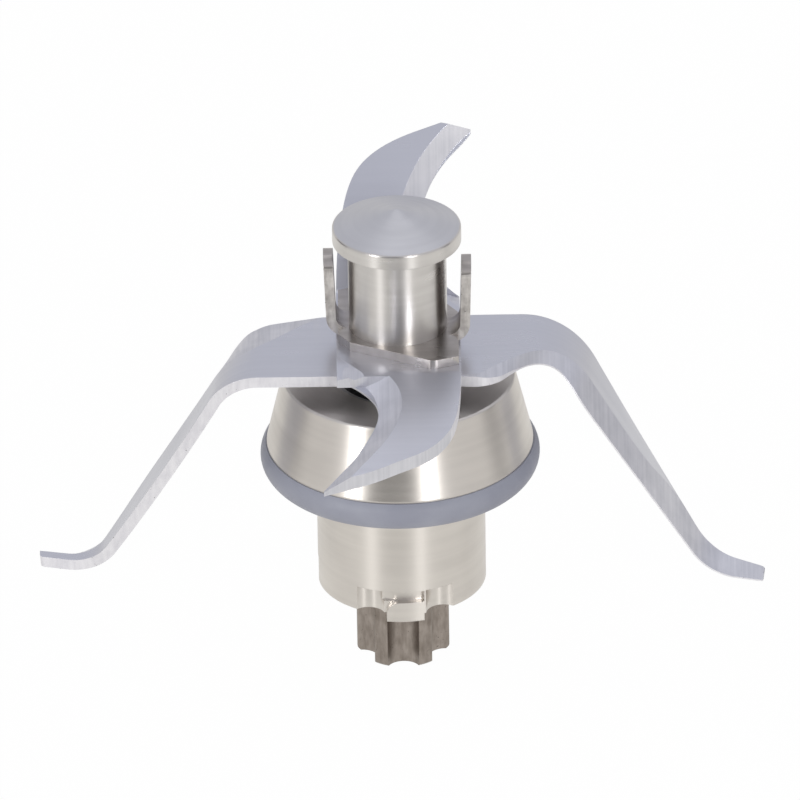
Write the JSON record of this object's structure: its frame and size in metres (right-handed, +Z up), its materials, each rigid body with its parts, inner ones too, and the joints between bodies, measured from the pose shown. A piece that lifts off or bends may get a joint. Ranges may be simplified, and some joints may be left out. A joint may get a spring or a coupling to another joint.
{
  "type": "blender blade assembly",
  "caption": "Stainless blade assembly for a heating blender jug: winged and curved blades on a sealed spindle in a bayonet housing with a lobed drive coupling.",
  "frame": {"origin": "on the spindle axis, in the plane where the flange seal's underside meets the jug's floor", "axes": "+Z up along the spindle, from the coupling to the head nut; X along the long winged blade; the curved blade's raised arm points to +Y"},
  "size_m": [0.12, 0.073, 0.0826],
  "materials": {
    "turned_housing_steel": "finely turned stainless steel",
    "turned_nut_steel": "finely turned stainless steel",
    "blade_steel": "satin stainless sheet with ground edges",
    "clip_steel": "satin stainless sheet with sheared edges",
    "sintered_steel": "darker sintered steel",
    "shaft_steel": "ground stainless steel",
    "sleeve_steel": "turned steel",
    "spring_steel": "blued spring steel",
    "bearing_steel": "polished bearing steel",
    "seal_rubber": "bluish grey silicone rubber",
    "lip_rubber": "black nitrile rubber",
    "cage_plastic": "natural polyamide"
  },
  "bodies": {
    "housing": {"bearing_housing": "turned_housing_steel", "flange_seal": "seal_rubber", "outer_spacer": "sleeve_steel", "housing_circlip": "spring_steel", "lip_seal_case": "sleeve_steel", "lip_seal_rubber": "lip_rubber", "lip_seal_spring": "spring_steel", "upper_bearing_outer_ring": "bearing_steel", "upper_bearing_shields": "spring_steel", "lower_bearing_outer_ring": "bearing_steel", "lower_bearing_shields": "spring_steel"},
    "rotor": {"shaft": "shaft_steel", "drive_coupling": "sintered_steel", "wing_blade": "blade_steel", "scythe_blade": "blade_steel", "eared_clip": "clip_steel", "head_nut": "turned_nut_steel", "inner_spacer": "sleeve_steel", "shaft_circlip": "spring_steel", "upper_bearing_inner_ring": "bearing_steel", "lower_bearing_inner_ring": "bearing_steel"},
    "upper_cage": {"upper_bearing_cage": "cage_plastic", "upper_bearing_balls": "bearing_steel"},
    "lower_cage": {"lower_bearing_cage": "cage_plastic", "lower_bearing_balls": "bearing_steel"}
  },
  "joints": [
    {"name": "shaft_spin", "type": "hinge", "parent": "housing", "child": "rotor", "pos_m": [0, 0, 0], "axis": [0, 0, 1], "continuous": true},
    {"name": "upper_cage_spin", "type": "hinge", "parent": "housing", "child": "upper_cage", "pos_m": [0, 0, 0.0077], "axis": [0, 0, 1], "continuous": true},
    {"name": "lower_cage_spin", "type": "hinge", "parent": "housing", "child": "lower_cage", "pos_m": [0, 0, -0.0148], "axis": [0, 0, 1], "continuous": true}
  ],
  "couplings": [
    {"joint": "upper_cage_spin", "follows": "shaft_spin", "ratio": 0.3677},
    {"joint": "lower_cage_spin", "follows": "shaft_spin", "ratio": 0.3677}
  ]
}
